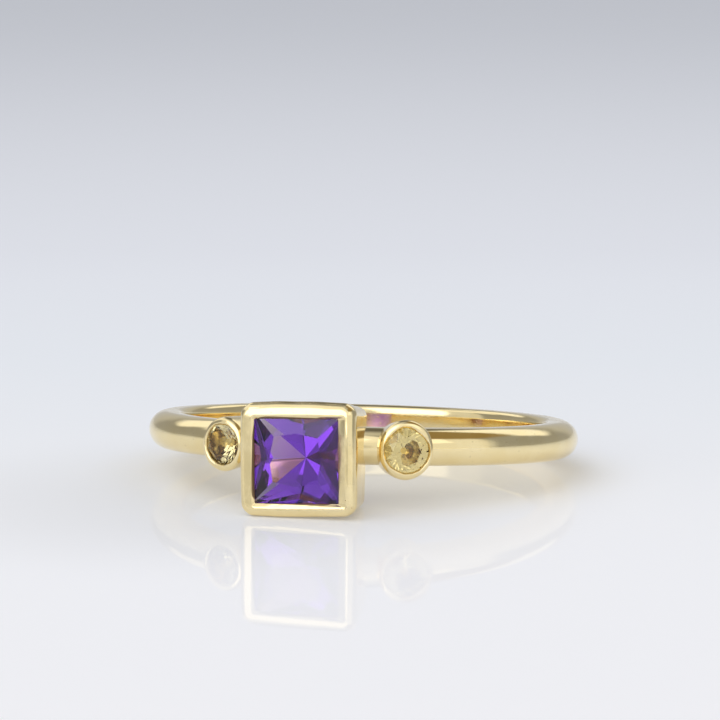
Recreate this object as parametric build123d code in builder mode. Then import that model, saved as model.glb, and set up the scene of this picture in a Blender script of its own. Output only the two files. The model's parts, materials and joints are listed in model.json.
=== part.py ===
"""A three-stone stacking ring in yellow gold, lying on its side.

A plain D-section band carries three rub-over settings in a row: a square cup
with a princess-cut amethyst, and a small round cup with a brilliant-cut
citrine on each side of it.  The square cup is a tube, open behind its stone:
the band is cut there and its ends are soldered to the tube's sides.  The metal
is one soldered piece, and each stone is a piece of its own, held under the lip
of its cup.

The origin is the centre of the finger hole.  The amethyst points towards -Y,
and the band leans back from upright by the few degrees at which the square
cup and the far side of the band both touch the table.  Millimetres, degrees.
"""

import os
from math import asin, atan2, cos, degrees, hypot, radians, sin, tan
from typing import NamedTuple

from build123d import *

# Driving dimensions -------------------------------------------------------

finger_radius = 8.65         # US size 7
band_width = 1.75            # along the finger
band_thickness = 1.65        # from the finger to the crown of the D
band_easing = 0.30           # rounding of the two edges against the finger
stone_gap = 0.03             # room between a stone and the metal all round it

# Square cup and its princess-cut stone
square_cup_width = 5.15      # across the rim
square_cup_corner = 0.50     # rounding of its four corners
square_cup_taper = 4.0       # how much the cup narrows towards the band
square_cup_shoulder = 0.28   # rounding of the rim's outer edge
square_cup_opening = 3.84    # width of stone that shows
square_cup_bore = 3.60       # width of the opening behind the stone
square_cup_bore_corner = 0.25    # rounding of that opening's corners
square_cup_base = 8.72       # distance of the tube's foot from the finger's axis
square_cup_drop = 0.55       # how far the cup sits below the middle of the band
princess_width = 4.26
princess_girdle_radius = 12.2    # distance of its girdle from the finger's axis
princess_rim = 0.38          # height of the rim over the girdle
princess_table = 0.43        # height of the table over the girdle
princess_table_corner = 1.03     # half-width of the table at its corners
princess_table_middle = 1.22     # and at the middle of its sides
princess_girdle = 0.10       # thickness of the girdle

# Round cups and their brilliant-cut stones
round_cup_taper = 4.0
round_cup_shoulder = 0.13
round_cup_lip = 0.08         # how far the lip reaches over the stone
round_cup_base = 9.30        # distance of the cup's foot from the finger's axis
brilliant_girdle_radius = 10.78
brilliant_rim = 0.26         # height of the rim over the girdle
brilliant_girdle = 0.05      # thickness of the girdle
brilliant_table_ratio = 0.57     # table width over stone width
lip_bevel = 0.10             # bright bevel inside each rim


class RoundCup(NamedTuple):
    """One of the two small cups, which differ a little, as hand-made cups do."""

    name: str
    swing: float             # degrees round the finger from the amethyst
    rise: float              # over the middle of the band
    width: float             # across the rim
    stone: float             # diameter of its stone


round_cups = [
    RoundCup("citrine_left", -22.5, -0.05, 2.52, 2.10),
    RoundCup("citrine_right", 24.5, -0.12, 2.66, 2.30),
]


class Tier(NamedTuple):
    """Facets ground at one angle, each through a point that it just reaches."""

    lean: float              # of the facet's outward normal from the stone's axis
    turns: list              # directions of the facets, degrees round that axis
    reach: float             # the point's distance from the axis, in that direction
    height: float            # the point's height over the girdle


# The plane of the ring ----------------------------------------------------

def resting_lean(reach, drop, back_reach, back_radius):
    """Lean at which an edge `reach` out and `drop` below the band meets a table
    that the round far side of the band, centred `back_reach` out, lies on."""
    span = hypot(reach + back_reach, drop)
    return degrees(atan2(drop, reach + back_reach) - asin(back_radius / span))


crown_radius = band_width / 2
crown_centre = finger_radius + band_thickness - crown_radius
cup_rim_radius = princess_girdle_radius + princess_rim
cup_narrowing = (cup_rim_radius - square_cup_base) * tan(radians(square_cup_taper))
lean_on_shoulder = resting_lean(
    cup_rim_radius - square_cup_shoulder, square_cup_drop + square_cup_width / 2
    - square_cup_shoulder * tan(radians(square_cup_taper)), crown_centre, crown_radius)
lean_on_foot = resting_lean(
    square_cup_base, square_cup_drop + square_cup_width / 2 - cup_narrowing,
    crown_centre, crown_radius)
ring_lean = max(lean_on_shoulder, lean_on_foot)
ring_plane = Plane.XY.rotated((-ring_lean, 0, 0))
finger_axis = Axis(ring_plane.origin, ring_plane.z_dir)


def outward_plane(swing, radius, rise=0.0):
    """Plane facing away from the finger, its X round the band and its Y along it."""
    outward = Vector(sin(radians(swing)), -cos(radians(swing)), 0)
    along_band = Vector(cos(radians(swing)), sin(radians(swing)), 0)
    local = Plane(origin=outward * radius + Vector(0, 0, rise),
                  x_dir=along_band, z_dir=outward)
    return Plane(ring_plane * local)


# Stones -------------------------------------------------------------------

def around(count, *offsets):
    """Directions of facets repeated round a stone, each with these offsets."""
    return [360 * step / count + offset for step in range(count) for offset in offsets]


def facet_plane(girdle, tier, turn, gap):
    """Plane of one facet, moved outwards by the gap; its normal leaves the stone."""
    lean = radians(tier.lean)
    direction = Vector(cos(radians(turn)), sin(radians(turn)), 0)
    normal = direction * sin(lean) + Vector(0, 0, cos(lean))
    point = direction * tier.reach + Vector(0, 0, tier.height)
    local = Plane(origin=point + normal * gap, z_dir=normal)
    return Plane(girdle * local)


def princess_tiers():
    """Square stone: four girdle triangles and eight corner facets over the
    girdle, and under it four breaks and two rings of eight facets in chevrons."""
    half = princess_width / 2
    edge = princess_girdle / 2
    corner = Vector(half, half, edge)
    table_corner = Vector(princess_table_corner, princess_table_corner, princess_table)
    table_middle = Vector(princess_table_middle, 0, princess_table)
    wing = (table_corner - corner).cross(table_middle - corner)
    wing_turn = degrees(atan2(wing.Y, wing.X))
    wing_lean = degrees(atan2(hypot(wing.X, wing.Y), wing.Z))
    wing_reach = half * (cos(radians(wing_turn)) + sin(radians(wing_turn)))
    side_lean = degrees(atan2(princess_table - edge, half - princess_table_middle))

    def chevron(angle, turn):
        """Pavilion facets at this angle, turned off square, that meet the corners."""
        reach = half * (cos(radians(turn)) + sin(radians(turn)))
        turns = around(4, -turn, turn) if turn else around(4, 0)
        return Tier(180 - angle, turns, reach, -edge)

    return [
        Tier(0, [0], 0, princess_table),
        Tier(side_lean, around(4, 0), half, edge),
        Tier(wing_lean, around(4, -wing_turn, wing_turn), wing_reach, edge),
        chevron(62, 0),
        chevron(52, 6),
        chevron(44.5, 15),
    ]


def brilliant_tiers(radius):
    """Round brilliant: table, stars, kites and halves over the girdle, halves
    and mains under it."""
    edge = brilliant_girdle / 2
    kite_lean = 33.0
    half_reach = radius * cos(radians(11.25))
    table = edge + radius * (1 - brilliant_table_ratio) * tan(radians(kite_lean))
    star_reach = radius * brilliant_table_ratio * cos(radians(22.5))
    return [
        Tier(0, [0], 0, table),
        Tier(19, around(8, 22.5), star_reach, table),
        Tier(kite_lean, around(8, 0), radius, edge),
        Tier(40, around(8, -11.25, 11.25), half_reach, edge),
        Tier(180 - 42.5, around(8, -11.25, 11.25), half_reach, -edge),
        Tier(180 - 41, around(8, 0), radius, -edge),
    ]


def square_rough(gap):
    """Outline of the square stone's girdle."""
    side = princess_width + 2 * gap
    return Rectangle(side, side)


def round_rough(radius, gap):
    """Outline of a round stone's girdle, which its halves leave 16-sided."""
    return RegularPolygon(radius + gap / cos(radians(11.25)), 16)


def cut_stone(girdle, outline, tiers, gap=0.0):
    """Block of the outline round the girdle plane, cut by every facet of the tiers."""
    rough_height = 3.0
    with BuildPart() as stone:
        with BuildSketch(girdle):
            add(outline(gap))
        extrude(amount=rough_height, both=True)
        for tier in tiers:
            for turn in tier.turns:
                split(bisect_by=facet_plane(girdle, tier, turn, gap), keep=Keep.BOTTOM)
    return stone.part


princess_girdle_plane = outward_plane(0, princess_girdle_radius, -square_cup_drop)
amethyst = cut_stone(princess_girdle_plane, square_rough, princess_tiers())
amethyst_seat = cut_stone(princess_girdle_plane, square_rough, princess_tiers(), stone_gap)

citrines = {}
citrine_seats = {}
for cup in round_cups:
    girdle = outward_plane(cup.swing, brilliant_girdle_radius, cup.rise)
    radius = cup.stone / 2
    rough = lambda gap, radius=radius: round_rough(radius, gap)
    citrines[cup.name] = cut_stone(girdle, rough, brilliant_tiers(radius))
    citrine_seats[cup.name] = cut_stone(girdle, rough, brilliant_tiers(radius), stone_gap)


# Metal --------------------------------------------------------------------

def rim_edges(part_edges, rim):
    """The edges that lie in the plane of a cup's rim."""
    return part_edges.filter_by(
        lambda edge: abs(rim.to_local_coords(edge.center()).Z) < 1e-4)


with BuildPart() as gold_ring:
    # Band: a D turned about the finger's axis
    with BuildSketch(Plane(ring_plane * Plane.XZ)):
        with Locations((crown_centre, 0)):
            Circle(crown_radius)
        with Locations(((finger_radius + crown_centre) / 2, 0)):
            Rectangle(crown_centre - finger_radius, band_width)
        fillet(vertices().group_by(Axis.X)[0], band_easing)
    revolve(axis=finger_axis)

    # Square cup
    square_rim = princess_girdle_plane.offset(princess_rim)
    with BuildSketch(square_rim):
        RectangleRounded(square_cup_width, square_cup_width, square_cup_corner)
    extrude(amount=square_cup_base - cup_rim_radius, taper=square_cup_taper)
    fillet(rim_edges(edges(), square_rim), square_cup_shoulder)

    # Round cups
    for cup in round_cups:
        rim_radius = brilliant_girdle_radius + brilliant_rim
        round_rim = outward_plane(cup.swing, rim_radius, cup.rise)
        with BuildSketch(round_rim):
            Circle(cup.width / 2)
        extrude(amount=round_cup_base - rim_radius, taper=round_cup_taper)
        fillet(rim_edges(edges(), round_rim), round_cup_shoulder)

    # The tube's bore, which also parts the band
    with BuildSketch(princess_girdle_plane):
        RectangleRounded(square_cup_bore, square_cup_bore, square_cup_bore_corner)
    extrude(amount=-band_thickness - princess_girdle_radius + square_cup_base, mode=Mode.SUBTRACT)

    # Seats under the lips, then the openings through them with their bevels
    add(amethyst_seat, mode=Mode.SUBTRACT)
    with BuildSketch(princess_girdle_plane):
        Rectangle(square_cup_opening, square_cup_opening)
    extrude(amount=princess_rim, mode=Mode.SUBTRACT)
    chamfer(rim_edges(edges(Select.LAST), square_rim), lip_bevel)
    for cup in round_cups:
        girdle = outward_plane(cup.swing, brilliant_girdle_radius, cup.rise)
        add(citrine_seats[cup.name], mode=Mode.SUBTRACT)
        with BuildSketch(girdle):
            Circle(cup.stone / 2 - round_cup_lip)
        extrude(amount=brilliant_rim, mode=Mode.SUBTRACT)
        chamfer(rim_edges(edges(Select.LAST), girdle.offset(brilliant_rim)), lip_bevel)

# Hand-in ------------------------------------------------------------------

os.makedirs("parts", exist_ok=True)
gold_ring.part.label = "gold_ring"
export_step(gold_ring.part, "parts/gold_ring.step")
amethyst.label = "amethyst"
export_step(amethyst, "parts/amethyst.step")
for name, citrine in citrines.items():
    citrine.label = name
    export_step(citrine, f"parts/{name}.step")

print(f"the ring leans {ring_lean:.3f} degrees")
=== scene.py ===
# %% [markdown]
# # A three-stone stacking ring in polished yellow gold
#
# This lesson dresses a finger ring whose construction is already settled: a
# slim D-section band, one square rub-over cup with a violet princess-cut stone,
# and two small round cups with honey-coloured brilliants.  The solids come in
# as the frame.  The stones stay as they are cut and only get their finish; the
# metal is made again here as smooth surfaces, because polish shows every facet
# of a mesh, and because a goldsmith's rims are never quite even.

import json
import math
from collections import namedtuple

import bpy
import numpy as np
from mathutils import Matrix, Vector


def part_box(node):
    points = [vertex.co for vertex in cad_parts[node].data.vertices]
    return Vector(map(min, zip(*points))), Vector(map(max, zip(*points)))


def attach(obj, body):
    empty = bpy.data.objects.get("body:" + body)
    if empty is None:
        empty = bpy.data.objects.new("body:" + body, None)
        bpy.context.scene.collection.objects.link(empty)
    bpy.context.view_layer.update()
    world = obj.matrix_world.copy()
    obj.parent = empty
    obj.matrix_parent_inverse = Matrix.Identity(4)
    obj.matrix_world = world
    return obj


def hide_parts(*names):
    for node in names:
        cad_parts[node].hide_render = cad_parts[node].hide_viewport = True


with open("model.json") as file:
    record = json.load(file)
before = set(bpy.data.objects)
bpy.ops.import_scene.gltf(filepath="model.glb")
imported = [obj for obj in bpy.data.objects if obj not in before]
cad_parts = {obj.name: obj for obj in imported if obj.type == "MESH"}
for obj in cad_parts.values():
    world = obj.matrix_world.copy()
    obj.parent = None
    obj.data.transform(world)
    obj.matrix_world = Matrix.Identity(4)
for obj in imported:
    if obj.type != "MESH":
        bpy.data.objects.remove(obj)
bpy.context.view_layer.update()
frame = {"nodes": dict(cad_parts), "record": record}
print("solids:", ", ".join(frame["nodes"]))

# %% [markdown]
# ## The ring's own directions
#
# The ring lies on its side and leans a few degrees, because its square cup is
# taller than the band.  It is easiest to shape every piece upright, with the
# finger's axis along Z and the square stone towards -Y, and to lean the result
# at the very end.  The lean is the tilt of the finger hole's axis, which the
# frame states.  Lengths are kept in millimetres until then.

# %% Directions and sizes that the frame gives
MM = 0.001
finger_hole = next(m for m in frame["record"]["mounts"] if m["name"] == "finger_hole")
finger_radius = finger_hole["dims"]["r_mm"]
lean = math.atan2(finger_hole["axis"][1], finger_hole["axis"][2])
gold_low, gold_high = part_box("gold_ring")
outer_radius = gold_high.x / MM
floor_height = gold_low.z
print(f"lean {math.degrees(lean):.2f} degrees, outside radius {outer_radius:.2f} mm")


def into_frame(points):
    """Leans upright ring points, in millimetres, into the frame, in metres.

    y' = y cos(lean) + z sin(lean),  z' = z cos(lean) - y sin(lean)
    """
    x, y, z = np.moveaxis(points, -1, 0)
    leaned = (x, y * math.cos(lean) + z * math.sin(lean),
              z * math.cos(lean) - y * math.sin(lean))
    return np.stack(leaned, axis=-1) * MM

# %% [markdown]
# ## From a grid of points to a mesh
#
# Every metal surface below is a closed loop carried along something.  The band's
# section goes round the finger and ends inside the square cup.  A round cup's
# circle runs from the bottom of its seat, over the rim and down to its foot.
# Both are closed in a point at either end.  The square cup is a tube, so its
# outline comes back to where it started.  All of them are grids, so one function
# makes them meshes.  Points are worked out as whole arrays and handed over at once.

# %% The mesh maker
def grid_mesh(name, points, around_too=False):
    """Mesh over points[row, column], whose columns always close on themselves.

    With around_too the rows close as well, which makes a ring.  Without it the
    first and last rows are poles: each is drawn in to its mean point.
    """
    rows, columns = points.shape[:2]
    here = np.arange(rows * columns).reshape(rows, columns)
    right = np.roll(here, -1, axis=1)
    if around_too:
        below, below_right = np.roll(here, -1, axis=0), np.roll(right, -1, axis=0)
        quads = np.stack([here, right, below_right, below], axis=-1).reshape(-1, 4)
        faces = quads.tolist()
        places = points.reshape(-1, 3)
    else:
        quads = np.stack([here[:-1], right[:-1], right[1:], here[1:]], axis=-1)
        first, last = rows * columns, rows * columns + 1
        fan_in = np.stack([np.full(columns, first), right[0], here[0]], axis=-1)
        fan_out = np.stack([np.full(columns, last), here[-1], right[-1]], axis=-1)
        faces = quads.reshape(-1, 4).tolist() + fan_in.tolist() + fan_out.tolist()
        poles = np.stack([points[0].mean(axis=0), points[-1].mean(axis=0)])
        places = np.concatenate([points.reshape(-1, 3), poles])
    mesh = bpy.data.meshes.new(name)
    mesh.from_pydata(into_frame(places), [], faces)
    mesh.shade_smooth()
    piece = bpy.data.objects.new(name, mesh)
    bpy.context.scene.collection.objects.link(piece)
    print(name, len(mesh.vertices), "vertices,", len(mesh.polygons), "faces")
    return piece

# %% [markdown]
# ## An unsteady hand
#
# Nothing on a hand-made ring is quite straight or round.  The same small helper
# serves the band and every rim: a few sine waves added up.  They close on
# themselves after a turn, so that no seam shows where a loop meets its start,
# and the seed keeps each line the same from one run to the next.

# %% Uneven lines
def waver(turn, seed, lowest, highest):
    """Smooth uneven line round a closed loop, between about -1 and 1.

    A sum of sines of `turn`, from `lowest` to `highest` waves a turn, with
    random phases and strengths that fall as one over the wave's number.
    """
    dice = np.random.default_rng(seed)
    waves = np.arange(lowest, highest + 1)
    phases = dice.uniform(0, 2 * np.pi, waves.size)
    strengths = dice.uniform(0.5, 1.0, waves.size) * lowest / waves
    line = (strengths * np.sin(turn[..., None] * waves + phases)).sum(axis=-1)
    fill = 1.6  # the waves never all peak together
    return line / strengths.sum() * fill


sample = waver(np.linspace(0, 2 * np.pi, 360), seed=1, lowest=2, highest=9)
print(f"a line of 2 to 9 waves runs from {sample.min():.2f} to {sample.max():.2f}")

# %% [markdown]
# ## Where each cup sits
#
# A cup's own grid is measured from its stone's girdle: two directions in the
# plane of the girdle and one outwards.  `Cup.place` carries such points to the
# band.  `Cup.measure` goes the other way and tells how far a point of the band
# is from a cup's axis, which is needed where the band is drilled under a stone.
# A third method writes the same measures in nodes, so that a finish can paint
# shade, a dark line, between a lip and its stone.

# %% Cups
class Cup:
    """Place of one setting: its swing round the finger from the square stone,
    the distance of its girdle from the finger's axis, and its rise along it."""

    def __init__(self, swing, girdle, rise):
        angle = math.radians(swing)
        self.outward = np.array([math.sin(angle), -math.cos(angle), 0.0])
        self.along = np.array([math.cos(angle), math.sin(angle), 0.0])
        self.up = np.array([0.0, 0.0, 1.0])
        self.centre = self.outward * girdle + self.up * rise

    def place(self, across, up, height):
        """centre + across * along + up * Z + height * outward"""
        return (self.centre + across[..., None] * self.along
                + up[..., None] * self.up + height[..., None] * self.outward)

    def painted_shade_line(self, finish, place, opening, power, aside, brim):
        """Mask of painted shade, 1 just under the lip and inside its opening, from Object
        coordinates.

        It is inside  (|across|^power + |up|^power)^(1/power) = opening  and
        ends at the height brim.  Its middle lies `aside` = (left, down) of the
        stone's.
        """
        def along(direction):
            """Millimetres from the origin in a direction of the upright ring."""
            unit = into_frame(direction[None, :])[0] / MM
            return finish.dot(place, tuple(unit / MM))

        across = finish.size(along(self.along) + aside[0])
        up = finish.size(along(self.up) - self.centre @ self.up + aside[1])
        height = along(self.outward) - self.centre @ self.outward
        reach = (across ** power + up ** power) ** (1 / power)
        in_opening = 1 - finish.smooth(reach, opening + 0.02, opening + 0.05)
        over_girdle = finish.smooth(height, -0.05, 0.05)
        under_brim = 1 - finish.smooth(height, brim - 0.08, brim)
        return in_opening * over_girdle * under_brim

    def measure(self, points):
        """Distance from the cup's axis, and height over its girdle."""
        offset = points - self.centre
        height = offset @ self.outward
        return np.hypot(offset @ self.along, offset @ self.up), height


square_cup = Cup(swing=0.0, girdle=12.2, rise=-0.55)
left_cup = Cup(swing=-22.5, girdle=10.78, rise=-0.05)
right_cup = Cup(swing=24.5, girdle=10.78, rise=-0.12)
for cup in (left_cup, square_cup, right_cup):
    print("middle of a girdle, upright, in mm:", cup.centre.round(2))

# %% [markdown]
# ## The band
#
# The band is a D: round outside, flat against the finger with its two edges
# eased.  One formula does both halves.  Outside it is a half circle; inside it
# is half a superellipse, whose low power makes it nearly a rectangle.  The
# hand shows as a very slow swelling of the wire, a hundredth of a millimetre or
# so, which is enough to make the reflections wander.  Under each round stone the
# band is drilled to a cone, so that the stone's point hangs free of the metal.

# %% Band surface
band_width = 1.75


def band_points(round_steps, section_steps, gap):
    """Grid of the band: row by angle round the finger, column round the section.
    It starts and ends `gap` radians from the middle of the square cup.

    With a = angle round the finger and s = angle round the D,
    outside  reach = centre + r cos s,            z = r sin s
    inside   reach = centre - depth |cos s|^0.36, z = r |sin s|^0.36, signed.
    The outside also swells with a, by 0.012 and 0.006 mm of waver.
    """
    r = band_width / 2
    centre = outer_radius - r
    depth = centre - finger_radius
    a = np.linspace(gap - np.pi / 2, 1.5 * np.pi - gap, round_steps)[:, None]
    s = np.linspace(-np.pi, np.pi, section_steps, endpoint=False)[None, :]
    cos_s, sin_s = np.cos(s), np.sin(s)
    inside = cos_s < 0
    squareness = 0.36
    outward = np.where(inside, -depth * np.abs(cos_s) ** squareness, r * cos_s)
    axial = np.where(inside, r * np.sign(sin_s) * np.abs(sin_s) ** squareness, r * sin_s)
    swelling = 0.012 * waver(a, 3, 2, 9) + 0.006 * waver(a + 0.4 * s, 4, 9, 24)
    grown = 1 + np.where(inside, 0, swelling / r)
    reach = centre + outward * grown
    return np.stack([reach * np.cos(a), reach * np.sin(a), axial * grown], axis=-1)


def drilled(points, cup, pit, slope, drill_radius=0.95, reach=3.0):
    """Lowers points that stand in a cup to the cone: height <= pit + slope * distance.
    The far side of the band, more than `reach` under the girdle, stays."""
    distance, height = cup.measure(points)
    cone = pit + slope * distance
    inside = (height > cone) & (height > -reach) & (distance < drill_radius)
    sunk = np.where(inside, height - cone, 0.0)
    return points - sunk[..., None] * cup.outward


band_grid = band_points(round_steps=680, section_steps=72, gap=math.radians(12.4))
for round_cup in (left_cup, right_cup):
    band_grid = drilled(band_grid, round_cup, pit=-1.25, slope=0.80)
band = grid_mesh("band", band_grid)

# %% [markdown]
# ## The cups
#
# A rub-over cup is a strip of metal bent round the stone, soldered shut, and
# pushed down over the stone's edge.  Its outline is a rounded square or a
# circle, and both come from one loop with a half-width and a corner radius.
# What happens from the bottom of the seat up over the rim and down the outside
# is a path of half-width against height, with its corners rounded off.

# %% Outline and path
def outline(sides, corner, steps, straight):
    """Rounded rectangle with its own distance to each of four sides, or a circle.

    `sides` holds the distances to the right, upper, left and lower side, row by
    row; `corner` holds the corner's radius.  Each quarter is a straight, an arc
    and a straight, which take the shares straight, 1 - 2 straight and straight
    of its steps:
    point = ((ahead - corner) * fx + corner * cos f, (next - corner) * fy + corner * sin f)
    """
    t = np.linspace(0, 1, steps // 4, endpoint=False)
    fx = np.interp(t, [0, 1 - straight, 1], [1, 1, 0]) if straight else np.ones_like(t)
    fy = np.interp(t, [0, straight, 1], [0, 1, 1]) if straight else np.ones_like(t)
    f = np.interp(t, [0, straight, 1 - straight, 1], [0, 0, np.pi / 2, np.pi / 2])
    x, y = [], []
    for quarter in range(4):
        ahead = sides[quarter] - corner
        beside = sides[(quarter + 1) % 4] - corner
        u = ahead[:, None] * fx + corner[:, None] * np.cos(f)
        v = beside[:, None] * fy + corner[:, None] * np.sin(f)
        cos_q, sin_q = (1, 0, -1, 0)[quarter], (0, 1, 0, -1)[quarter]
        x.append(u * cos_q - v * sin_q)
        y.append(u * sin_q + v * cos_q)
    return np.concatenate(x, axis=1), np.concatenate(y, axis=1)


def eased_path(stations, arc_steps=7, run_steps=4):
    """Rows along a path of stations, each (half-width, height, corner, easing).

    Each station is replaced by a quadratic curve that starts and ends `easing`
    short of it: (1-t)^2 before + 2t(1-t) station + t^2 after.
    """
    table = np.array(stations, float)
    at, easing = table[:, :3], table[:, 3:]
    legs = np.diff(at, axis=0)
    lengths = np.linalg.norm(legs[:, :2], axis=1, keepdims=True)
    ways = legs / lengths
    before = at[1:-1] - ways[:-1] * np.minimum(easing[1:-1], lengths[:-1] * 0.48)
    after = at[1:-1] + ways[1:] * np.minimum(easing[1:-1], lengths[1:] * 0.48)
    t = np.linspace(0, 1, arc_steps)[None, :, None]
    bends = ((1 - t) ** 2 * before[:, None] + 2 * t * (1 - t) * at[1:-1, None]
             + t ** 2 * after[:, None])
    starts = np.concatenate([at[:1], after])
    ends = np.concatenate([before, at[-1:]])
    u = np.linspace(0, 1, run_steps + 2)[None, 1:-1, None]
    runs = starts[:, None] * (1 - u) + ends[:, None] * u
    pieces = [runs[0]]
    for bend, run in zip(bends, runs[1:]):
        pieces += [bend, run]
    return np.concatenate(pieces)


elbow = eased_path([(0, 0, 0, 0), (1, 0, 0, 0.2), (1, 1, 0, 0)])[:, :2]
print(f"a right angle eased by 0.2 takes {len(elbow)} rows and passes "
      f"{np.linalg.norm(elbow - (1, 0), axis=1).min():.2f} from its corner")

# %% [markdown]
# ## The square cup
#
# The square cup is a tube, open behind its stone so that light gets in from the
# back.  Its path goes up the inside, over the ledge that carries the stone, over
# the lip and the broad rim, and down the tapered outside to the foot.  A rim
# that is pushed over by hand leans and thins in its own way on each side, so
# every station of the rim holds four distances and four heights.  Between two
# sides they blend over the corner.

# %% Square cup
square_opening = 1.96


def square_cup_points():
    """Grid of the square cup, a tube whose path closes: up inside, over the rim, down.

    A station is (four distances, four heights, corner, easing), and the four are
    its right, upper, left and lower side.
    half-width = path + bow * (1 - (place along the side)^2) + uneven hand
    height     = the four paths' heights, each by its side's share of the turn
    The rim is turned by twist, which fades towards the foot.
    """
    foot, ledge, bore, seat = -3.48, -0.70, 1.80, 2.16
    inside = [((bore,) * 4, (0.6 * foot,) * 4, 0.25, 0.0),
              ((bore,) * 4, (ledge,) * 4, 0.20, 0.03),
              ((seat,) * 4, (-0.09,) * 4, 0.04, 0.03),
              ((seat + 0.005,) * 4, (0.07,) * 4, 0.05, 0.02)]
    rim = [((1.94, 1.85, 1.98, 1.98), (0.12, 0.12, 0.12, 0.12), 0.05, 0.02),
           ((1.96, 1.87, 1.99, 2.00), (0.19, 0.17, 0.14, 0.17), 0.06, 0.03),
           ((2.34, 2.00, 2.10, 2.18), (0.46, 0.26, 0.29, 0.28), 0.16, 0.06),
           ((2.45, 2.27, 2.45, 2.34), (0.47, 0.20, 0.25, 0.27), 0.34, 0.08),
           ((2.64, 2.46, 2.57, 2.50), (0.33, 0.05, 0.17, 0.16), 0.50, 0.12),
           ((2.76, 2.58, 2.66, 2.58), (0.04, -0.16, 0.00, -0.05), 0.60, 0.16)]
    outside = [((2.33, 2.305, 2.305, 2.305), (foot,) * 4, 0.42, 0.10),
               ((bore,) * 4, (foot,) * 4, 0.25, 0.06),
               ((bore,) * 4, (0.6 * foot,) * 4, 0.25, 0.0)]
    stations = inside + rim + outside
    paths = np.stack([
        eased_path([(wide[side], high[side], corner, easing)
                    for wide, high, corner, easing in stations])[:-1]
        for side in range(4)])
    width, corner = paths[:, :, 0], paths[:, :, 2].mean(axis=0)
    x, y = outline(width, np.minimum(corner, width.min(axis=0)), steps=400, straight=0.36)
    turn = np.arctan2(y, x)
    # A side's share is most at its middle, and none beyond the two corners.
    shares = np.stack([np.clip(np.cos(turn - side * np.pi / 2) * 1.45 - 0.525, 0, 1)
                       for side in range(4)])
    shares = shares ** 2 * (3 - 2 * shares)
    shares = shares / shares.sum(axis=0)
    height = (shares * paths[:, :, 1][:, :, None]).sum(axis=0)

    # Masks: the outside, the lip's edge, and all that rises to the rim.
    mean_width = width.mean(axis=0)
    reach = np.maximum(np.abs(x), np.abs(y))
    along_side = np.minimum(np.abs(x), np.abs(y)) / np.maximum(reach, 1e-6)
    outer = np.clip((mean_width - 2.0) / 0.5, 0, 1)[:, None] * (height > -3.0)
    on_lip = np.exp(-((mean_width - square_opening) / 0.10) ** 2)[:, None] * (height > 0.1)
    at_rim = np.clip((height - 0.05) / 0.3, 0, 1)
    bow = (0.050 + 0.035 * shares[1]) * outer * (1 - along_side ** 2)
    hand = 0.016 * outer * waver(turn, 11, 3, 14) + 0.014 * on_lip * waver(turn, 12, 7, 40)
    grown = 1 + (bow + hand) / np.maximum(reach, 0.3)
    dented = height + at_rim * (0.012 * waver(turn, 13, 2, 11)
                                + 0.004 * waver(turn + mean_width[:, None], 14, 14, 40))
    twist = math.radians(2.1) * np.clip(1 + (height - 0.38) / 2.5, 0, 1)
    x, y = x * grown, y * grown
    return square_cup.place(x * np.cos(twist) - y * np.sin(twist),
                            x * np.sin(twist) + y * np.cos(twist), dented)


square_setting = grid_mesh("square_setting", square_cup_points(), around_too=True)

# %% [markdown]
# ## The round cups
#
# A round cup is a short straight tube under a low rim.  Its rim comes out a
# little oval and off the stone's middle, and its lip is drawn in further over
# the stone where the tool pushed hardest.  Those pushes are what the eye reads
# as hand work, so each is stated on its own: where, how wide and how deep.

# %% Round cups
def round_cup_points(cup, rim_size, opening, shift, pushes, seed):
    """Grid of a round cup, made as the square one but with circles for loops.

    opening is the half-width inside the lip, rim_size the width and height of
    the rim, and shift = (across, up) carries the lip and rim off the stone's
    middle, as far as the hand pushed them.  Each of the pushes, (at, wide) in
    degrees and its depth, draws the lip in over the stone:
    depth * exp(-((turn - at) / wide)^2)
    """
    stone, half = opening + 0.13, max(rim_size) / 2
    rim, foot = 0.26, -1.48
    path = eased_path([
        (0.02, -0.90 * stone - 0.06, 0, 0.0),
        (stone + 0.03, -0.05, 0, 0.03),
        (stone + 0.035, 0.03, 0, 0.02),
        (opening, 0.10, 0, 0.02),
        (opening + 0.01, rim - 0.09, 0, 0.03),
        (opening + 0.09, rim, 0, 0.04),
        (half - 0.09, rim - 0.07, 0, 0.08),
        (half, rim - 0.23, 0, 0.12),
        (half - 0.11, foot, 0, 0.08),
        (0.02, foot, 0, 0.0),
    ])
    width, height, _ = path.T
    x, y = outline((width,) * 4, width, steps=240, straight=0.0)
    turn = np.arctan2(y, x)
    # Masks over the rows: the lip's edge, and the outside above the foot.
    on_lip = np.exp(-((width - opening - 0.03) / 0.08) ** 2)[:, None] * (height > 0.05)[:, None]
    outer = np.clip((width - opening) / 0.2, 0, 1)[:, None] * (height > -1.2)[:, None]
    drawn_in = 0
    for at, wide, depth in pushes:
        aside = np.angle(np.exp(1j * (turn - math.radians(at))))
        drawn_in = drawn_in + depth * np.exp(-(aside / math.radians(wide)) ** 2)
    drawn_in = on_lip * drawn_in
    hand = (0.012 * outer * waver(turn, seed, 2, 9)
            + 0.022 * on_lip * waver(turn, seed + 1, 5, 24) - drawn_in)
    grown = 1 + hand / np.maximum(width, 0.2)[:, None]
    at_rim = np.clip((height - 0.02) / 0.1, 0, 1)[:, None]
    moved = np.maximum(at_rim, outer * np.clip(1 + height / 1.2, 0, 1)[:, None])
    dented = height[:, None] + 0.012 * at_rim * waver(turn, seed + 2, 2, 12) + 0.6 * drawn_in
    oval = np.clip((width - opening - 0.05) / (half - opening - 0.05), 0, 1)[:, None]
    x = x * grown * (1 - oval * (1 - rim_size[0] / 2 / half)) + shift[0] * moved
    y = y * grown * (1 - oval * (1 - rim_size[1] / 2 / half)) + shift[1] * moved
    return cup.place(x, y, dented)


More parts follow.
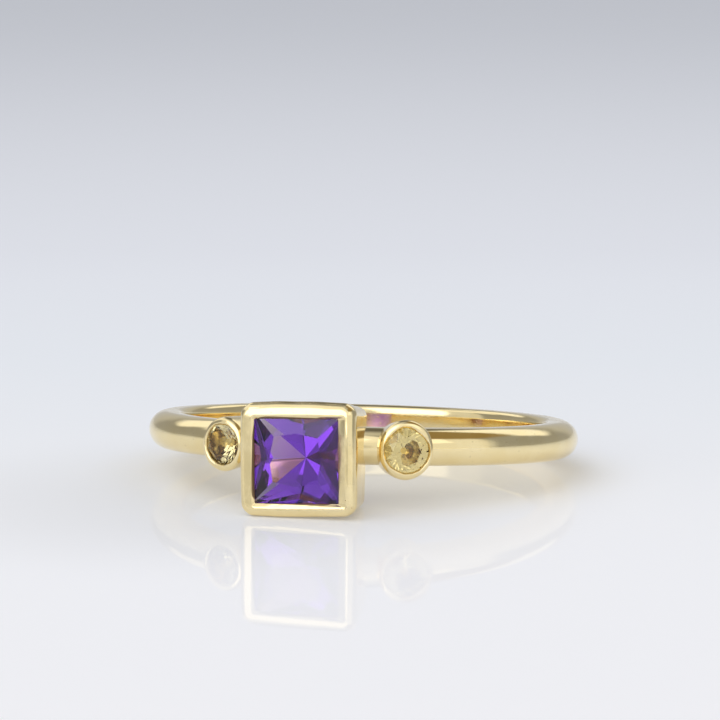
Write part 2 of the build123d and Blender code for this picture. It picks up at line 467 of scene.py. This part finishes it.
left_setting = grid_mesh("left_setting", round_cup_points(
    left_cup, rim_size=(2.38, 2.52), opening=0.91, shift=(0.03, -0.087),
    pushes=[(60, 25, 0.03), (205, 30, 0.04)], seed=21))
right_setting = grid_mesh("right_setting", round_cup_points(
    right_cup, rim_size=(2.54, 2.76), opening=1.03, shift=(0.02, 0.06),
    pushes=[(50, 26, 0.085), (135, 20, 0.06), (235, 30, 0.03)], seed=31))

# %% [markdown]
# ## Shader maths as expressions
#
# A wrapped socket lets a pattern be written as arithmetic.  Every operator adds
# one Math node and gives its output back wrapped, so `1 - mask * 0.5` reads as
# what it does.  Any other node comes from `Finish.node`.  A Math node would turn
# a colour grey, so colours go through a Mix node, which `Finish.blend` adds.

# %% Node helpers
class Value:
    """A number coming out of a node."""

    def __init__(self, material, socket):
        self.material, self.socket = material, socket

    def _maths(self, operation, first, second):
        return self.material.node("ShaderNodeMath", {"operation": operation},
                                  {0: first, 1: second})

    def __add__(self, other):
        return self._maths("ADD", self, other)

    __radd__ = __add__

    def __sub__(self, other):
        return self._maths("SUBTRACT", self, other)

    def __rsub__(self, other):
        return self._maths("SUBTRACT", other, self)

    def __mul__(self, other):
        return self._maths("MULTIPLY", self, other)

    __rmul__ = __mul__

    def __truediv__(self, other):
        return self._maths("DIVIDE", self, other)

    def __rtruediv__(self, other):
        return self._maths("DIVIDE", other, self)

    def __pow__(self, other):
        return self._maths("POWER", self, other)

    def __rpow__(self, other):
        return self._maths("POWER", other, self)


class Finish:
    """A node tree, of a material or the world, that is being put together."""

    def __init__(self, owner):
        owner.use_nodes = True
        self.tree = owner.node_tree
        self.tree.nodes.clear()

    def node(self, kind, settings=None, inputs=None, output=0):
        """New node: its settings first, then the values or links of its sockets."""
        made = self.tree.nodes.new(kind)
        for key, setting in (settings or {}).items():
            if key == "stops":
                ramp = made.color_ramp
                while len(ramp.elements) < len(setting):
                    ramp.elements.new(0.5)
                for element, (position, colour) in zip(ramp.elements, setting):
                    element.position, element.color = position, colour
            else:
                setattr(made, key, setting)
        for key, given in (inputs or {}).items():
            if isinstance(given, Value):
                self.tree.links.new(given.socket, made.inputs[key])
            else:
                made.inputs[key].default_value = given
        return Value(self, made.outputs[output]) if made.outputs else made

    def smooth(self, value, low, high):
        """0 below low, 1 above high, smooth between."""
        return self.node("ShaderNodeMapRange", {"interpolation_type": "SMOOTHSTEP"},
                         {0: value, 1: low, 2: high, 3: 0.0, 4: 1.0})

    def size(self, value):
        """The value without its sign."""
        return self.node("ShaderNodeMath", {"operation": "ABSOLUTE"}, {0: value})

    def dot(self, place, direction):
        """How far a place lies in a direction."""
        return self.node("ShaderNodeVectorMath", {"operation": "DOT_PRODUCT"},
                         {0: place, 1: direction}, output=1)

    def blend(self, factor, first, second):
        """Colour between two, by a factor."""
        # A Mix node's sockets 6 and 7 are its colours, and output 2 is the mixed one.
        return self.node("ShaderNodeMix", {"data_type": "RGBA"},
                         {0: factor, 6: first, 7: second}, output=2)


def new_material(name):
    """New material, and the node tree in which its finish is put together."""
    material = bpy.data.materials.new(name)
    return material, Finish(material)


print("a value takes + - * / and **, before or after a number")

# %% [markdown]
# ## Polished gold
#
# Hand-polished fourteen-carat gold is a pale, warm mirror.  It isn't a perfect
# one: the buff leaves a fine haze, the file leaves faint strokes under it, and
# wear scatters pinpricks over it.  Between a lip and its stone the gold is made
# duller, and shade is painted into it as dark brown, which draws a dark line
# round the stone.
# The band is smoother than the cups, which are worked on with the stone already
# in place.

# %% Gold
pale_gold, deep_gold = (0.95, 0.80, 0.46, 1), (0.925, 0.765, 0.415, 1)
# The second brown is painted shade for the line between a lip and its stone.
pit_brown, painted_shade_brown = (0.50, 0.36, 0.17, 1), (0.30, 0.20, 0.10, 1)


def gold_finish(name, smoothest, haziest, grain, cup=None, **lip):
    """Gold whose roughness goes from smoothest to haziest; grain deepens the relief.

    Haze changes over a millimetre or so and strokes over a tenth of that.  Pits
    are the middles of Voronoi cells 0.3 mm wide, where the haze is strong.  Where
    a cup is given, shade is painted as dark brown on the line between its lip and
    stone, which is also made duller; lip holds what that mask wants to know.
    """
    material, gold = new_material(name)
    place = gold.node("ShaderNodeTexCoord", output="Object")

    def noise(scale, detail):
        return gold.node("ShaderNodeTexNoise", None,
                         {"Vector": place, "Scale": scale, "Detail": detail})

    haze, slow, strokes, fine = noise(900, 4), noise(1500, 2), noise(9000, 3), noise(26000, 2)
    pits = gold.node("ShaderNodeTexVoronoi", None,
                     {"Vector": place, "Scale": 3600.0, "Randomness": 1.0})
    pitted = (1 - gold.smooth(pits + 0.5 * fine, 0.30, 0.42)) * gold.smooth(haze, 0.45, 0.60)
    tone = gold.smooth(haze, 0.35, 0.65)
    colour = gold.blend(tone, deep_gold, pale_gold)
    colour = gold.blend(pitted * 0.5, colour, pit_brown)
    haziness = 0.6 * tone + 0.4 * gold.smooth(strokes, 0.45, 0.75)
    roughness = smoothest + (haziest - smoothest) * haziness + 0.12 * pitted
    relief = slow + (strokes * 0.12 + fine * 0.06 - pitted * 0.25) * grain
    if cup is not None:
        # Painted shade: the line between lip and stone is darkened to brown and dulled.
        painted_shade_line = cup.painted_shade_line(gold, place, **lip)
        colour = gold.blend(painted_shade_line, colour, painted_shade_brown)
        roughness = roughness + 0.3 * painted_shade_line
    bump = gold.node("ShaderNodeBump", None,
                     {"Strength": 0.35, "Distance": 0.00001, "Height": relief})
    shader = gold.node("ShaderNodeBsdfPrincipled", None,
                       {"Base Color": colour, "Metallic": 1.0, "Roughness": roughness,
                        "Normal": bump})
    gold.node("ShaderNodeOutputMaterial", None, {"Surface": shader})
    return material


# Where each cup's painted shade line lies, round its stone.
painted_shade_lines = {
    "square": (square_cup, dict(opening=square_opening, power=8, aside=(0.095, 0.055), brim=0.32)),
    "left": (left_cup, dict(opening=0.95, power=2, aside=(0, 0), brim=0.18)),
    "right": (right_cup, dict(opening=1.08, power=2, aside=(0, 0), brim=0.18)),
}
polished_gold = gold_finish("polished_gold", smoothest=0.07, haziest=0.17, grain=1.0)
rubbed_gold = [gold_finish(f"rubbed_gold_{which}", smoothest=0.10, haziest=0.26, grain=2.5,
                           cup=cup, **lip)
               for which, (cup, lip) in painted_shade_lines.items()]
for piece, material in zip((band, square_setting, left_setting, right_setting),
                           (polished_gold, *rubbed_gold)):
    piece.data.materials.append(material)
    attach(piece, "root")
    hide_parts("gold_ring")
    print(piece.name, "wears", material.name, "of", len(material.node_tree.nodes), "nodes")

# %% [markdown]
# ## Cut stones
#
# A cut stone's pattern comes from its facets alone: light goes in through the
# table, turns round inside and comes out somewhere else.  The shader only has
# to be clear quartz with the right bend of light, and colour that deepens with
# the way through it.  Natural quartz is never quite even, so faint clouds lie in
# the colour, and the polish has a few long strokes that are a little less smooth.

# %% Quartz
quartz_ior = 1.55


def quartz_finish(name, tint, absorbed, density):
    """Clear quartz: its surface tints what passes, and its inside absorbs by depth.

    The tint drifts between 3% deeper and a fifth paler.  Strokes are a noise
    drawn out 22 times in one direction, of which only the crests are dulled.
    """
    material, quartz = new_material(name)
    place = quartz.node("ShaderNodeTexCoord", output="Object")
    clouds = quartz.node("ShaderNodeTexNoise", None,
                         {"Vector": place, "Scale": 650.0, "Detail": 2.0})
    drawn_out = quartz.node("ShaderNodeMapping", None,
                            {"Vector": place, "Rotation": (0.3, 0.9, 0.5),
                             "Scale": (1.0, 1.0, 22.0)})
    strokes = quartz.node("ShaderNodeTexNoise", None,
                          {"Vector": drawn_out, "Scale": 1500.0, "Detail": 3.0})
    paler = tuple(1 - (1 - c) * 0.8 for c in tint[:3]) + (1,)
    deeper = tuple(c * 0.97 for c in tint[:3]) + (1,)
    colour = quartz.blend(quartz.smooth(clouds, 0.35, 0.65), deeper, paler)
    surface = quartz.node("ShaderNodeBsdfPrincipled", None,
                          {"Base Color": colour, "IOR": quartz_ior, "Transmission Weight": 1.0,
                           "Roughness": 0.03 * quartz.smooth(strokes, 0.60, 0.72)})
    depth = quartz.node("ShaderNodeVolumeAbsorption", None,
                        {"Color": absorbed, "Density": density})
    quartz.node("ShaderNodeOutputMaterial", None, {"Surface": surface, "Volume": depth})
    return material


stones = {
    "amethyst": quartz_finish("amethyst", (0.80, 0.78, 0.86, 1), (0.56, 0.20, 0.84, 1), 620.0),
    "citrine_left": quartz_finish("citrine_left", (0.70, 0.71, 0.71, 1),
                                  (0.90, 0.76, 0.18, 1), 430.0),
    "citrine_right": quartz_finish("citrine_right", (0.75, 0.72, 0.62, 1),
                                   (0.92, 0.78, 0.16, 1), 400.0),
}
for name, material in stones.items():
    mesh = frame["nodes"][name].data
    mesh.materials.clear()
    mesh.materials.append(material)
    print(name, "keeps its", len(mesh.polygons), "triangles as cut")

# %% [markdown]
# ## The table
#
# The ring lies on a wide sheet that is almost white, with a gloss so weak that
# it shows only a pale copy of what stands on it.  A very low IOR gives that: the
# surface then mirrors little, and more the flatter it is looked at.  Light is
# painted into the sheet's colour: it runs from pale in front to a cooler grey
# behind and darkens far out, as a painted falloff of light; a painted warm light,
# as if bounced from the gold, lies close to the ring, and a painted shade on its
# left.  The sheet also glows a little as if lit from below.

# %% Table
camera_swing = math.radians(14.33)
away_from_lens = (-math.sin(camera_swing), math.cos(camera_swing), 0.0)


def sheet_finish():
    """Weak gloss over a colour that is mixed from places on the table, in metres.

    A ramp goes with the way behind the ring and fades to a darker grey all round: painted falloff of
    light.
    Two soft spots follow: painted warm light from the gold about the origin, and painted shade on
    the left.
    """
    material, sheet = new_material("glossy_sheet_with_painted_light")
    place = sheet.node("ShaderNodeTexCoord", output="Object")
    ramp_start, ramp_length = -0.06, 0.4
    # Painted falloff of light: pale in front, cooler behind, and grey far out.
    stops = [(0.02, (0.858, 0.868, 0.915, 1)), (0.12, (0.842, 0.859, 0.912, 1)),
             (0.24, (0.770, 0.808, 0.878, 1)), (0.36, (0.733, 0.762, 0.842, 1))]
    behind = sheet.dot(place, away_from_lens)
    colour = sheet.node("ShaderNodeValToRGB", {"stops": stops},
                        {0: (behind - ramp_start) / ramp_length})
    reach = sheet.node("ShaderNodeVectorMath", {"operation": "LENGTH"}, {0: place}, output=1)
    painted_falloff_grey, painted_gold_bounce, shade_grey = ((0.438, 0.466, 0.545, 1), (0.76, 0.72, 0.62, 1),
                                        (0.60, 0.615, 0.646, 1))
    colour = sheet.blend(sheet.smooth(reach, 0.05, 0.35), colour, painted_falloff_grey)
    # Painted warm light close to the ring, as if bounced from the gold.
    painted_bounce_spot = 1 - sheet.smooth(reach, 0.005, 0.014)
    colour = sheet.blend(painted_bounce_spot * 0.9, colour, painted_gold_bounce)
    # Painted shade on the table, to the left of the ring.
    aside = sheet.node("ShaderNodeVectorMath", {"operation": "DISTANCE"},
                       {0: place, 1: (-0.005, -0.0095, floor_height)}, output=1)
    shaded = 1 - sheet.smooth(aside, 0.003, 0.020)
    colour = sheet.blend(shaded * 0.4, colour, shade_grey)
    surface = sheet.node("ShaderNodeBsdfPrincipled", None,
                         {"Base Color": colour, "Roughness": 0.0, "IOR": 1.07,
                          "Emission Color": colour, "Emission Strength": 0.21})
    sheet.node("ShaderNodeOutputMaterial", None, {"Surface": surface})
    return material


def flat_sheet(name, half_size):
    """Square at the height where the ring rests, half_size to each side."""
    corners = [(x * half_size, y * half_size, floor_height)
               for x, y in ((-1, -1), (1, -1), (1, 1), (-1, 1))]
    mesh = bpy.data.meshes.new(name)
    mesh.from_pydata(corners, [], [(0, 1, 2, 3)])
    table = bpy.data.objects.new(name, mesh)
    bpy.context.scene.collection.objects.link(table)
    return table


table_top = flat_sheet("table_top", half_size=2.0)
table_top.data.materials.append(sheet_finish())
print(table_top.name, "lies", round(-floor_height / MM, 3), "mm under the middle of the finger hole")

# %% [markdown]
# ## The camera
#
# A ring is so small that it is looked at from a hand's breadth or two, through a
# long lens, which keeps its far side from shrinking.  The lens stands a little to
# the right of the square stone, almost level with the table, and looks slightly
# down.

# %% Camera
camera_distance, camera_height, camera_pitch = 0.2136, 0.0381, math.radians(8.69)
camera_shift = -0.00017
back = Vector((math.sin(camera_swing), -math.cos(camera_swing), 0))
side = Vector((math.cos(camera_swing), math.sin(camera_swing), 0))
camera_data = bpy.data.cameras.new("camera")
camera = bpy.data.objects.new("camera", camera_data)
bpy.context.scene.collection.objects.link(camera)
camera.location = (back * camera_distance + side * camera_shift
                   + Vector((0, 0, floor_height + camera_height)))
camera.rotation_euler = (math.pi / 2 - camera_pitch, 0, camera_swing)
camera_data.sensor_width = 36.0
camera_data.lens = 225.1
camera_data.clip_start = 0.005
bpy.context.scene.camera = camera
print(f"the lens is {camera.location.length / MM:.0f} mm from the ring's middle and sees "
      f"{math.degrees(camera_data.angle):.1f} degrees")

# %% [markdown]
# ## The light tent
#
# A polished ring is mostly a picture of its surroundings, so what stands round it
# matters more than any lamp.  The world is a dim grey room.  In it hang cards, as
# in a jeweller's light tent: a long one behind, which the upper sides of band and
# rims mirror, bright ones in front, left and right, for the long highlights, and
# a small dim warm one high on the right.  A card is a soft-edged rectangle of
# directions, mixed over the room in the order of the list.

# %% Room
world = bpy.data.worlds.new("light_tent")
bpy.context.scene.world = world
tent = Finish(world)
direction = tent.node("ShaderNodeTexCoord", output="Generated")
sine_of_height = tent.node("ShaderNodeSeparateXYZ", None, {0: direction}, output=2)


def walls(levels):
    """Cool grey by height: stops of (sine of the height, brightness)."""
    cool = (0.97, 0.985, 1.03)
    stops = [(sine, tuple(c * level for c in cool) + (1,)) for sine, level in levels]
    return tent.node("ShaderNodeValToRGB", {"stops": stops}, {0: sine_of_height})


room = walls([(0.0, 0.38), (0.08, 0.36), (0.25, 0.34), (0.6, 0.34), (0.85, 0.30), (0.95, 0.34),
              (1.0, 0.60)])
print("the room's walls take", len(world.node_tree.nodes), "nodes")

# %% Cards
Card = namedtuple("Card", "swing height wide tall soft paint")


def grey(level):
    """Paint without a tint."""
    return (level, level, level)


def way(swing, height):
    """Unit vector towards a swing from the front and a height, in degrees."""
    a, e = math.radians(swing), math.radians(height)
    return (math.sin(a) * math.cos(e), -math.cos(a) * math.cos(e), math.sin(e))


def card_mask(card):
    """1 in an upright rectangle of directions, with its middle at swing and height.

    wide and tall are half sizes in degrees, and soft is the edge outside them:
    |d . across / d . middle| < tan(wide)  and  |d . upward / d . middle| < tan(tall)
    """
    a = math.radians(card.swing)
    facing = tent.dot(direction, way(card.swing, card.height))
    mask = tent.smooth(facing, 0.05, 0.2)
    across, upward = (math.cos(a), math.sin(a), 0), way(card.swing, card.height + 90)
    for axis, half in ((across, card.wide), (upward, card.tall)):
        offset = tent.size(tent.dot(direction, axis) / facing)
        mask = mask * (1 - tent.smooth(offset, math.tan(math.radians(half)),
                                       math.tan(math.radians(half + card.soft))))
    return mask


cards = {
    "warm, high right": Card(107, 60, 26, 12, 10, (0.30, 0.225, 0.11)),
    "long, behind": Card(194, 42, 42, 10, 8, grey(1.1)),
    "dark gap in it": Card(194, 45, 8, 17, 5, grey(0.15)),
    "low, behind": Card(192, 6, 22, 10, 12, grey(0.50)),
    "tall, left": Card(-54, 28, 14, 32, 6, grey(0.72)),
    "broad, right": Card(50, 24, 32, 22, 12, grey(0.88)),
    "lamp in it": Card(56, 40, 9, 9, 4, grey(1.25)),
    "low, in front": Card(-16, 4, 30, 8, 8, grey(0.63)),
    "high, left": Card(-38, 64, 44, 14, 8, grey(1.0)),
    "lamp, front": Card(-19, 34, 21, 21, 6, grey(2.1)),
}
light = room
for title, card in cards.items():
    light = tent.blend(card_mask(card), light, card.paint + (1,))
    print(f"card {title}: {2 * card.wide} by {2 * card.tall} degrees, brightness {card.paint[0]}")
background = tent.node("ShaderNodeBackground", None, {"Color": light, "Strength": 1.0})
tent.node("ShaderNodeOutputWorld", None, {"Surface": background})

# %% [markdown]
# ## The picture
#
# Light turns round many times inside a cut stone before it gets out, and a path
# that is cut short comes back black.  So the stones need far more bounces than a
# plain scene.

# %% Picture settings
scene = bpy.context.scene
scene.view_settings.view_transform = "Standard"
scene.cycles.max_bounces = 24
scene.cycles.glossy_bounces = 16
scene.cycles.transmission_bounces = 20
print("light may bounce", scene.cycles.max_bounces, "times")
